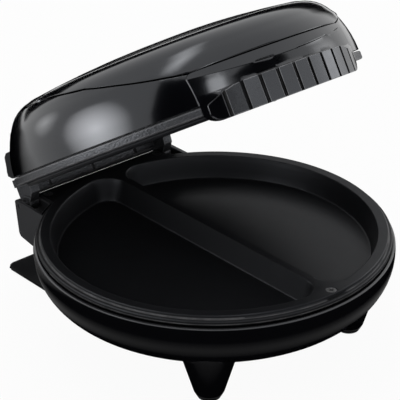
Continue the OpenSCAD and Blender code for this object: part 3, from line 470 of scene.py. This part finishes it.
def box_black():
    return finish(
        "satin black box", (0.026, 0.026, 0.028), rough=0.38, marks=0.08, dust=0.004,
        bump=0.15, specular=0.3, worn=(0.09, 0.09, 0.094), wear=0.6,
    )


def dome_black():
    return finish(
        "gloss black dome", settings().colours.dome, rough=0.14, marks=0.04, dust=0.004,
        bump=0.03, specular=0.5, coat=0.4, coat_rough=0.06, worn=(0.06, 0.06, 0.063), wear=0.4,
    )


def ring_black():
    return finish(
        "pebbled ring", settings().colours.band, rough=0.36, marks=0.12, dust=0.01,
        pebble_scale=700.0, pebble=0.9, tooth=0.5, bump=1.0, depth=0.0003, specular=0.6,
        worn=(0.16, 0.16, 0.165), wear=0.8,
    )


def grip_satin():
    # Edge colour light enough that the rubbed patches on the rib edges also paint highlight
    # lines along the ribs
    return finish(
        "satin grip", settings().colours.grip, rough=0.27, marks=0.12, pebble_scale=2600.0,
        bump=0.4, specular=0.9, worn=(0.3, 0.3, 0.31), wear=0.9,
    )


def groove_painted_shade():
    # Painted shade: near black on the groove floors and the sides between the ribs, where shade
    # falls
    return finish(
        "black grooves", (0.004, 0.004, 0.0042), rough=0.4, marks=0.1, bump=0.1, specular=0.1,
        worn=(0.12, 0.12, 0.122), wear=0.5,
    )


def leg_black():
    return finish(
        "satin black leg", settings().colours.bowl, rough=0.4, marks=0.08, dust=0.004,
        bump=0.1, specular=0.12, coat=0.1, coat_rough=0.15, worn=(0.06, 0.06, 0.063), wear=0.4,
    )


def stand_matt():
    return finish(
        "matt stand", (0.018, 0.018, 0.019), rough=0.5, marks=0.1, pebble_scale=1700.0,
        pebble=0.7, bump=0.4, depth=0.00008, specular=0.2, worn=(0.1, 0.1, 0.102), wear=0.6,
    )


def plate_coat():
    return finish(
        "non-stick coat", settings().colours.coat, rough=0.36, drift=0.35, marks=0.1,
        dust=0.006, pebble_scale=1900.0, pebble=0.4, tooth=0.8, bump=0.35, depth=0.00006,
        specular=0.2, worn=(0.06, 0.06, 0.064), wear=0.6,
    )


def plate_lip():
    return finish(
        "blasted lip", settings().colours.lip, rough=0.4, drift=0.2, marks=0.1,
        pebble_scale=1300.0, pebble=0.6, tooth=0.9, bump=0.9, depth=0.00015, specular=0.22,
        worn=(0.2, 0.2, 0.205), wear=0.9,
    )


def pad_rubber():
    return finish(
        "pad rubber", settings().colours.rubber, rough=0.72, drift=0.3, dust=0.03,
        pebble_scale=1200.0, pebble=0.6, bump=0.5, specular=0.25,
    )


def plain_steel():
    return finish(
        "zinc steel", settings().colours.steel, rough=0.34, drift=0.2, marks=0.2, bump=0.25,
        metallic=1.0,
    )


def dark_steel():
    return finish(
        "blackened steel", (0.2, 0.2, 0.205), rough=0.36, drift=0.3, marks=0.2, bump=0.25,
        metallic=1.0,
    )


def pin_steel():
    return finish(
        "dark pin", (0.1, 0.1, 0.105), rough=0.3, drift=0.1, marks=0.1, bump=0.1, metallic=1.0
    )


def heater_steel():
    return finish(
        "heater sheath", settings().colours.tube, rough=0.5, drift=0.6, marks=0.2, bump=0.3,
        metallic=0.9,
    )


def shield_metal():
    return finish(
        "pressed aluminium", settings().colours.shield, rough=0.32, drift=0.15, marks=0.18,
        bump=0.2, metallic=1.0, aniso=0.4,
    )


def ceramic():
    return finish(
        "off-white body", settings().colours.block, rough=0.45, drift=0.12, marks=0.1,
        bump=0.15,
    )


def stat_body():
    return finish(
        "dark moulded body", (0.03, 0.028, 0.027), rough=0.4, drift=0.2, marks=0.1, bump=0.2
    )


def sleeve_weave():
    return finish(
        "woven sleeve", settings().colours.sleeve, rough=0.7, drift=0.2, weave=1500.0,
        bump=0.6, depth=0.0001, specular=0.3,
    )


def lens(name, shade):
    return finish(
        name, shade, rough=0.12, drift=0.1, marks=0.05, bump=0.1, specular=0.5,
        transmission=0.55, coat=0.3,
    )


# Mesh help


def smooth_and_split(bm):
    """Shades the mesh smooth, but keeps its sharp edges"""
    for face in bm.faces:
        face.smooth = True
    for edge in bm.edges:
        if len(edge.link_faces) == 2:
            edge.smooth = edge.calc_face_angle(0.0) < math.radians(SMOOTH_BELOW)


def merged(node):
    """A joined-up copy of a CAD node's loose triangles, paired where they are flat"""
    bm = bmesh.new()
    bm.from_mesh(frame["nodes"][node].data)
    bmesh.ops.remove_doubles(bm, verts=bm.verts, dist=MERGE_WITHIN)
    bmesh.ops.dissolve_degenerate(bm, edges=bm.edges, dist=MERGE_WITHIN)
    bmesh.ops.join_triangles(
        bm,
        faces=bm.faces,
        angle_face_threshold=math.radians(FLAT_WITHIN),
        angle_shape_threshold=math.radians(ANY_SHAPE),
    )
    return bm


def roomy(edge, width):
    """True if neither the edge nor any next to it is too short for a rounding that wide"""
    if edge.calc_length() < SHORTEST_EDGE * width:
        return False
    for vert in edge.verts:
        for other in vert.link_edges:
            if other is not edge and other.calc_length() < SHORTEST_NEIGHBOUR * width:
                return False
    return True


def round_edges(bm, width):
    """Rounds the sharp edges that have room for it and marks the new faces"""
    mark = bm.loops.layers.float.new("edge")
    sharp = [
        edge
        for edge in bm.edges
        if len(edge.link_faces) == 2
        and edge.calc_face_angle(0.0) > math.radians(ROUND_ABOVE)
        and roomy(edge, width)
    ]
    if not sharp:
        raise RuntimeError("no edge to round")
    made = bmesh.ops.bevel(
        bm,
        geom=sharp,
        offset=width,
        offset_type="OFFSET",
        segments=BEVEL_STEPS,
        profile=0.5,
        affect="EDGES",
        clamp_overlap=False,
        material=-1,
        loop_slide=True,
    )
    for face in made["faces"]:
        for loop in face.loops:
            loop[mark] = 1.0


def to_piece(bm, name, body, slot, *materials):
    """Puts the mesh into the scene as a piece that moves with its body"""
    smooth_and_split(bm)
    mesh = bpy.data.meshes.new(name)
    bm.to_mesh(mesh)
    bm.free()
    for material in materials:
        mesh.materials.append(material)
    piece = bpy.data.objects.new(name, mesh)
    bpy.context.scene.collection.objects.link(piece)
    even = piece.modifiers.new("even normals", "WEIGHTED_NORMAL")
    even.keep_sharp = True
    even.weight = NORMAL_WEIGHT
    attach(piece, body)
    return piece


def body_of(node):
    return frame["nodes"][node].parent.name.split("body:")[-1]


def dress(node, material):
    """Gives a CAD node its finish"""
    mesh = frame["nodes"][node].data
    mesh.materials.clear()
    mesh.materials.append(material)
    for polygon in mesh.polygons:
        polygon.material_index = 0


def rounded(node, name, slot, width, *materials, sort_faces=None):
    """Stands a rounded copy of a CAD node in its place"""
    bm = merged(node)
    round_edges(bm, width)
    if sort_faces:
        for face in bm.faces:
            face.material_index = sort_faces(face)
    piece = to_piece(bm, name, body_of(node), slot, *materials)
    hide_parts(node)


# Sorting faces by the finish that they take


def lid_to_shut():
    """The turn about the hinge that shuts the lid from where it is drawn"""
    hinge = frame["joints"][0]
    pivot = Vector(hinge["pos_m"])
    turn = Matrix.Rotation(math.radians(-hinge["range_deg"][0]), 4, "X")
    return Matrix.Translation(pivot) @ turn @ Matrix.Translation(-pivot)


def middle_y(node):
    low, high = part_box(node)
    return (low.y + high.y) / 2


shut_turn = lid_to_shut()
plate_centre_y = middle_y("lower_shield")


def base_zone(face):
    """0 on the bowl, 1 on the hinge box behind it, 2 on the rounding of the bowl's rim, which
    takes a painted highlight
    """
    at = face.calc_center_median()
    out = math.hypot(at.x, at.y - BOWL_CENTRE_Y)
    if at.y > BOX_FRONT_Y and out > BOX_RADIUS:
        return 1
    sloping = RIM_SLOPE[0] < face.normal.z < RIM_SLOPE[1]
    return 2 if at.z > RIM_LOW_Z and out > RIM_RADIUS and sloping else 0


def plate_zone(face):
    """0 on the lower plate's coated inside, 1 on its outer lip"""
    at = face.calc_center_median()
    return 1 if math.hypot(at.x, at.y - plate_centre_y) > LIP_RADIUS else 0


def in_groove(face):
    """True between two ribs of the grip, where shade is painted: the floor of a groove and its
    two sides
    """
    at = shut_turn @ face.calc_center_median()
    outward = Vector((at.x, at.y - GRIP_CENTRE_Y, 0))
    normal = shut_turn.to_3x3() @ face.normal
    if outward.length < GRIP_BACK_RADIUS or abs(normal.z) > GRIP_TOP_SLOPE:
        return False
    on_floor = outward.length < GROOVE_FLOOR_RADIUS
    return on_floor or outward.normalized().dot(normal) < RIB_FACE_OUTWARD


def grip_zone(face):
    """0 on the ribs, 1 in the grooves between them, which take painted shade, 2 on the smooth
    ends
    """
    if abs(face.calc_center_median().x) > GRIP_RIBBED_X:
        return 2
    return 1 if in_groove(face) else 0


# Operators


class COOKER_OT_base_shell(bpy.types.Operator):
    """Gloss black bowl with a painted highlight along its rim, and satin hinge box"""

    bl_idname = "cooker.base_shell"
    bl_label = "Bowl and hinge box"

    def execute(self, context):
        width = settings().rounding.shell
        rounded(
            "base_shell", "bowl_moulding", "gloss_black", width, bowl_black(), box_black(),
            rim_painted_highlight(), sort_faces=base_zone,
        )
        return {"FINISHED"}


class COOKER_OT_feet(bpy.types.Operator):
    """Front feet, rear legs, their pads and screws"""

    bl_idname = "cooker.feet"
    bl_label = "Feet and legs"

    def execute(self, context):
        width = settings().rounding.shell
        rounded("front_feet", "front_feet_mouldings", "gloss_black", width, bowl_black())
        rounded("rear_legs", "rear_leg_mouldings", "gloss_black", width, leg_black())
        dress("foot_pads", pad_rubber())
        dress("foot_screws", plain_steel())
        return {"FINISHED"}


class COOKER_OT_lower_plate(bpy.types.Operator):
    """Lower cooking plate with its coated pockets and blasted lip, and its screws"""

    bl_idname = "cooker.lower_plate"
    bl_label = "Lower plate"

    def execute(self, context):
        width = settings().rounding.plate
        rounded(
            "lower_plate", "lower_plate_casting", "coated_plate", width, plate_coat(),
            plate_lip(), sort_faces=plate_zone,
        )
        dress("lower_plate_screws", dark_steel())
        return {"FINISHED"}


class COOKER_OT_upper_plate(bpy.types.Operator):
    """Upper cooking plate and its screws"""

    bl_idname = "cooker.upper_plate"
    bl_label = "Upper plate"

    def execute(self, context):
        width = settings().rounding.plate
        rounded("upper_plate", "upper_plate_casting", "coated_plate", width, plate_coat())
        dress("upper_plate_screws", dark_steel())
        return {"FINISHED"}


class COOKER_OT_heaters(bpy.types.Operator):
    """Heaters, their straps and the dishes behind them"""

    bl_idname = "cooker.heaters"
    bl_label = "Heaters and shields"

    def execute(self, context):
        for side in ("lower", "upper"):
            dress(side + "_heater", heater_steel())
            dress(side + "_heater_clamps", plain_steel())
            dress(side + "_shield", shield_metal())
            dress(side + "_shield_screws", plain_steel())
        return {"FINISHED"}


class COOKER_OT_wiring(bpy.types.Operator):
    """Thermostat, fuse, terminal block, leads in their sleeves, lead tube and cord bush"""

    bl_idname = "cooker.wiring"
    bl_label = "Thermostat and leads"

    def execute(self, context):
        dress("thermostat", stat_body())
        dress("thermal_fuse", ceramic())
        dress("terminal_block", ceramic())
        dress("base_leads", sleeve_weave())
        dress("lid_leads", sleeve_weave())
        dress("lead_tube", stat_body())
        dress("cord_bush", stand_matt())
        return {"FINISHED"}


class COOKER_OT_hinge(bpy.types.Operator):
    """Hinge pins in the box's cheeks"""

    bl_idname = "cooker.hinge"
    bl_label = "Hinge"

    def execute(self, context):
        dress("hinge_pins", pin_steel())
        return {"FINISHED"}


class COOKER_OT_dome(bpy.types.Operator):
    """Dome of the lid and the hood over it"""

    bl_idname = "cooker.dome"
    bl_label = "Dome and hood"

    def execute(self, context):
        width = settings().rounding.seam
        rounded("lid_shell", "dome_moulding", "gloss_black_lid", width, dome_black())
        rounded("lid_hood", "hood_moulding", "gloss_black_lid", width, dome_black())
        return {"FINISHED"}


class COOKER_OT_ring(bpy.types.Operator):
    """Pebbled ring of the lid with its hinge ears and rear bar, and its screws"""

    bl_idname = "cooker.ring"
    bl_label = "Lid ring"

    def execute(self, context):
        width = settings().rounding.ring
        rounded("lid_frame", "ring_moulding", "grained_black", width, ring_black())
        dress("lid_frame_screws", plain_steel())
        return {"FINISHED"}


class COOKER_OT_handle(bpy.types.Operator):
    """Handle body with its thumb scoop, and the ribbed grip with painted shade in its grooves
    """

    bl_idname = "cooker.handle"
    bl_label = "Handle"

    def execute(self, context):
        width = settings().rounding.grip
        rounded("handle_body", "handle_moulding", "gloss_black_lid", 2 * width, dome_black())
        rounded(
            "handle_grip", "grip_strip", "satin_grip", width, grip_satin(), groove_painted_shade(),
            dome_black(), sort_faces=grip_zone,
        )
        dress("handle_screws", plain_steel())
        return {"FINISHED"}


class COOKER_OT_stands(bpy.types.Operator):
    """Stops on the back of the lid that it rests on when fully open"""

    bl_idname = "cooker.stands"
    bl_label = "Lid stops"

    def execute(self, context):
        width = settings().rounding.shell
        rounded("lid_stands", "stand_mouldings", "matt_black", width, stand_matt())
        return {"FINISHED"}


class COOKER_OT_lamps(bpy.types.Operator):
    """The two indicator lenses and their holder"""

    bl_idname = "cooker.lamps"
    bl_label = "Indicator lenses"

    def execute(self, context):
        dress("power_light", lens("red lens", (0.45, 0.02, 0.012)))
        dress("ready_light", lens("green lens", (0.02, 0.3, 0.05)))
        dress("lamp_holder", ceramic())
        return {"FINISHED"}


class COOKER_OT_stage(bpy.types.Operator):
    """Pale floor, room light, soft lamp, cards that gloss reflects, and the camera"""

    bl_idname = "cooker.stage"
    bl_label = "Stage"

    def execute(self, context):
        context.scene.view_settings.view_transform = "Standard"
        make_floor()
        make_room()
        make_cards()
        make_camera()
        return {"FINISHED"}


# Stage


def seen_by_eye(tree):
    """1 for rays that show the background: from the camera, or by reflection or glass"""
    path = tree.nodes.new("ShaderNodeLightPath")
    seen = maths(tree, "MAXIMUM", path.outputs["Is Camera Ray"], path.outputs["Is Glossy Ray"])
    return maths(tree, "MAXIMUM", seen, path.outputs["Is Transmission Ray"])


def square_sheet(name, half):
    """A flat square at the origin, for the stage"""
    bm = bmesh.new()
    bmesh.ops.create_grid(bm, x_segments=1, y_segments=1, size=half)
    mesh = bpy.data.meshes.new(name)
    bm.to_mesh(mesh)
    bm.free()
    sheet = bpy.data.objects.new(name, mesh)
    bpy.context.scene.collection.objects.link(sheet)
    return sheet


def blank_material(name):
    material = bpy.data.materials.new(name)
    material.use_nodes = True
    material.node_tree.nodes.clear()
    return material


def mix_surface(tree, share, first, second):
    """Ends a material in a mix of two shaders"""
    mix = tree.nodes.new("ShaderNodeMixShader")
    out = tree.nodes.new("ShaderNodeOutputMaterial")
    tree.links.new(share, mix.inputs[0])
    tree.links.new(first.outputs[0], mix.inputs[1])
    tree.links.new(second.outputs[0], mix.inputs[2])
    tree.links.new(mix.outputs[0], out.inputs["Surface"])


def aim(at, towards):
    """The turn that faces a lamp or card at one point towards another"""
    return (Vector(towards) - Vector(at)).to_track_quat("-Z", "Y").to_euler()


def make_floor():
    floor = square_sheet("floor", FLOOR_HALF)
    floor.location = (0, 0, -FLOOR_DROP)
    material = blank_material("pale floor")
    tree = material.node_tree
    matt = tree.nodes.new("ShaderNodeBsdfDiffuse")
    matt.inputs["Color"].default_value = FLOOR_COLOUR
    white = tree.nodes.new("ShaderNodeEmission")
    white.inputs["Color"].default_value = WHITE
    share = maths(tree, "MULTIPLY", seen_by_eye(tree), FLOOR_WHITE_SHARE)
    mix_surface(tree, share, matt, white)
    floor.data.materials.append(material)


def make_room():
    """The room's even light, and the soft lamp overhead"""
    world = bpy.data.worlds.new("room")
    bpy.context.scene.world = world
    world.use_nodes = True
    tree = world.node_tree
    back = tree.nodes["Background"]
    back.inputs["Color"].default_value = WHITE
    air = settings().studio.air
    strength = maths(tree, "MULTIPLY_ADD", seen_by_eye(tree), 1.0 - air, air)
    tree.links.new(strength, back.inputs["Strength"])
    soft_box(
        "key lamp", at=(0.1, 0.45, 1.4), towards=(0, -0.03, 0.2), wide=0.9, tall=0.3,
        power=settings().studio.key,
    )


def make_cards():
    """Glowing cards, then black ones round the object and on the floor, those under the bowl
    with a grey ring round them being a painted shadow
    """
    studio = settings().studio
    black = 0.0
    card(
        "side glow", at=(-0.44, 0.05, 0.245), towards=(-0.095, -0.025, 0.168),
        wide=0.4, tall=0.34, level=studio.side,
    )
    card(
        "rear glow", at=(-0.72, 1.05, 0.22), towards=(-0.08, -0.03, 0.18),
        wide=0.55, tall=0.5, level=studio.rear,
    )
    card(
        "hood glow", at=(-0.2, 0.21, 1.38), towards=(-0.03, -0.04, 0.2),
        wide=1.2, tall=0.34, level=studio.hood,
    )
    card(
        "scoop glow", at=(-0.27, -0.79, 1.04), towards=(-0.05, -0.07, 0.19),
        wide=0.28, tall=0.5, level=studio.scoop, square=4, edge=2,
    )
    card(
        "right glow", at=(1.2, -0.42, 0.42), towards=(0.02, -0.09, 0.19),
        wide=0.8, tall=0.8, level=studio.right,
    )
    card(
        "left card", at=(-0.75, -0.71, 0.925), towards=(-0.07, -0.05, 0.186),
        wide=0.86, tall=1.1, level=black, square=8, edge=9,
    )
    card(
        "brow card", at=(0.35, -0.8, 1.08), towards=(-0.02, -0.076, 0.2),
        wide=0.95, tall=0.42, level=black, square=8, edge=5,
    )
    card(
        "back card", at=(0.68, 0.82, 0.27), towards=(0, 0, 0.2),
        wide=1.15, tall=0.5, level=black, square=8, edge=4,
    )
    card(
        "back left card", at=(0.12, 1.12, 0.2), towards=(-0.06, 0.05, 0.17),
        wide=0.55, tall=0.5, level=black, square=8, edge=6,
    )
    floor_card("far floor card", (0.26, 0.47, 0.004), 1.1, 0.85, black, square=4, edge=4)
    # Painted shadow: the black cards under and just before the bowl and the grey ring round
    # them stand for the floor's shade in the bowl's reflections
    floor_card("near floor card", (-0.05, -0.12, 0.002), 0.66, 0.6, black, square=3, edge=4)
    floor_card("floor ring", (0, BOWL_CENTRE_Y, 0.003), 0.31, 0.31, studio.ring, edge=6)
    floor_card("under card", (0, BOWL_CENTRE_Y, 0.004), 0.24, 0.24, black, edge=6)


def soft_box(name, at, towards, wide, tall, power):
    """A soft lamp that gloss surfaces don't mirror"""
    data = bpy.data.lights.new(name, "AREA")
    data.shape = "RECTANGLE"
    data.size = wide
    data.size_y = tall
    data.energy = power
    lamp = bpy.data.objects.new(name, data)
    lamp.location = at
    lamp.rotation_euler = aim(at, towards)
    lamp.visible_glossy = False
    bpy.context.scene.collection.objects.link(lamp)


def card(name, at, towards, wide, tall, level, square=2.0, edge=1.0):
    """A soft-edged card that only gloss surfaces reflect: black at level 0, glowing above it"""
    piece = square_sheet(name, 1.0)
    piece.location = at
    piece.rotation_euler = aim(at, towards)
    piece.scale = (wide / 2, tall / 2, 1)
    piece.data.materials.append(card_finish(name, level, square, edge))
    piece.visible_camera = False
    piece.visible_diffuse = False
    piece.visible_shadow = False
    piece.visible_transmission = False


def floor_card(name, at, wide, tall, level, square=2.0, edge=1.0):
    """A card that lies just over the floor and faces up"""
    card(name, at, (at[0], at[1], 1), wide, tall, level, square, edge)


def card_finish(name, level, square, edge):
    """Clear at the rim and full in the middle; a higher square gives a squarer card"""
    material = blank_material(name)
    tree = material.node_tree
    split = tree.nodes.new("ShaderNodeSeparateXYZ")
    where = tree.nodes.new("ShaderNodeTexCoord").outputs["Object"]
    tree.links.new(where, split.inputs[0])
    parts = [
        maths(tree, "POWER", maths(tree, "ABSOLUTE", split.outputs[axis]), square)
        for axis in ("X", "Y")
    ]
    away = maths(tree, "POWER", maths(tree, "ADD", *parts), 1 / square)
    fill = maths(tree, "MULTIPLY", maths(tree, "SUBTRACT", 1.0, away), edge, clamp=True)
    clear = tree.nodes.new("ShaderNodeBsdfTransparent")
    glow = tree.nodes.new("ShaderNodeEmission")
    glow.inputs["Strength"].default_value = level
    mix_surface(tree, fill, clear, glow)
    return material


def make_camera():
    """The camera at the photograph's viewing angle"""
    data = bpy.data.cameras.new("camera")
    data.sensor_width = 36
    data.lens = 166.32
    data.clip_start = 0.05
    data.clip_end = 50
    camera = bpy.data.objects.new("camera", data)
    place_at = (-0.649989, -0.758948, 0.595585)
    right = Vector((0.75710132, -0.65327226, -0.00573943))
    up = Vector((0.30329232, 0.34368832, 0.88875875))
    ahead = Vector((0.57862886, 0.67462115, -0.45833934))
    turn = Matrix((right, up, -ahead)).transposed()
    camera.matrix_world = Matrix.Translation(place_at) @ turn.to_4x4()
    bpy.context.scene.collection.objects.link(camera)
    bpy.context.scene.camera = camera


# Add-on


class CookerSettings(bpy.types.PropertyGroup):
    """All that a user would change"""

    colours: PointerProperty(type=CookerColours)
    rounding: PointerProperty(type=CookerRounding)
    studio: PointerProperty(type=CookerStudio)


operators = (
    COOKER_OT_base_shell,
    COOKER_OT_feet,
    COOKER_OT_lower_plate,
    COOKER_OT_heaters,
    COOKER_OT_wiring,
    COOKER_OT_hinge,
    COOKER_OT_dome,
    COOKER_OT_ring,
    COOKER_OT_handle,
    COOKER_OT_stands,
    COOKER_OT_upper_plate,
    COOKER_OT_lamps,
    COOKER_OT_stage,
)


class COOKER_PT_panel(bpy.types.Panel):
    """Lists the cooker's pieces in the sidebar"""

    bl_idname = "COOKER_PT_panel"
    bl_label = "Omelette maker"
    bl_space_type = "VIEW_3D"
    bl_region_type = "UI"
    bl_category = "Cooker"

    def draw(self, context):
        layout = self.layout
        for operator in operators:
            layout.operator(operator.bl_idname)
        cooker = context.scene.cooker
        for part in (cooker.colours, cooker.rounding, cooker.studio):
            box = layout.box()
            for name in part.__annotations__:
                box.prop(part, name)


classes = (
    CookerColours,
    CookerRounding,
    CookerStudio,
    CookerSettings,
    *operators,
    COOKER_PT_panel,
)


def register():
    for cls in classes:
        bpy.utils.register_class(cls)
    bpy.types.Scene.cooker = PointerProperty(type=CookerSettings)


def unregister():
    del bpy.types.Scene.cooker
    for cls in reversed(classes):
        bpy.utils.unregister_class(cls)


def main():
    register()
    for operator in operators:
        group_name, call = operator.bl_idname.split(".")
        getattr(getattr(bpy.ops, group_name), call)()


if __name__ == "__main__":
    main()
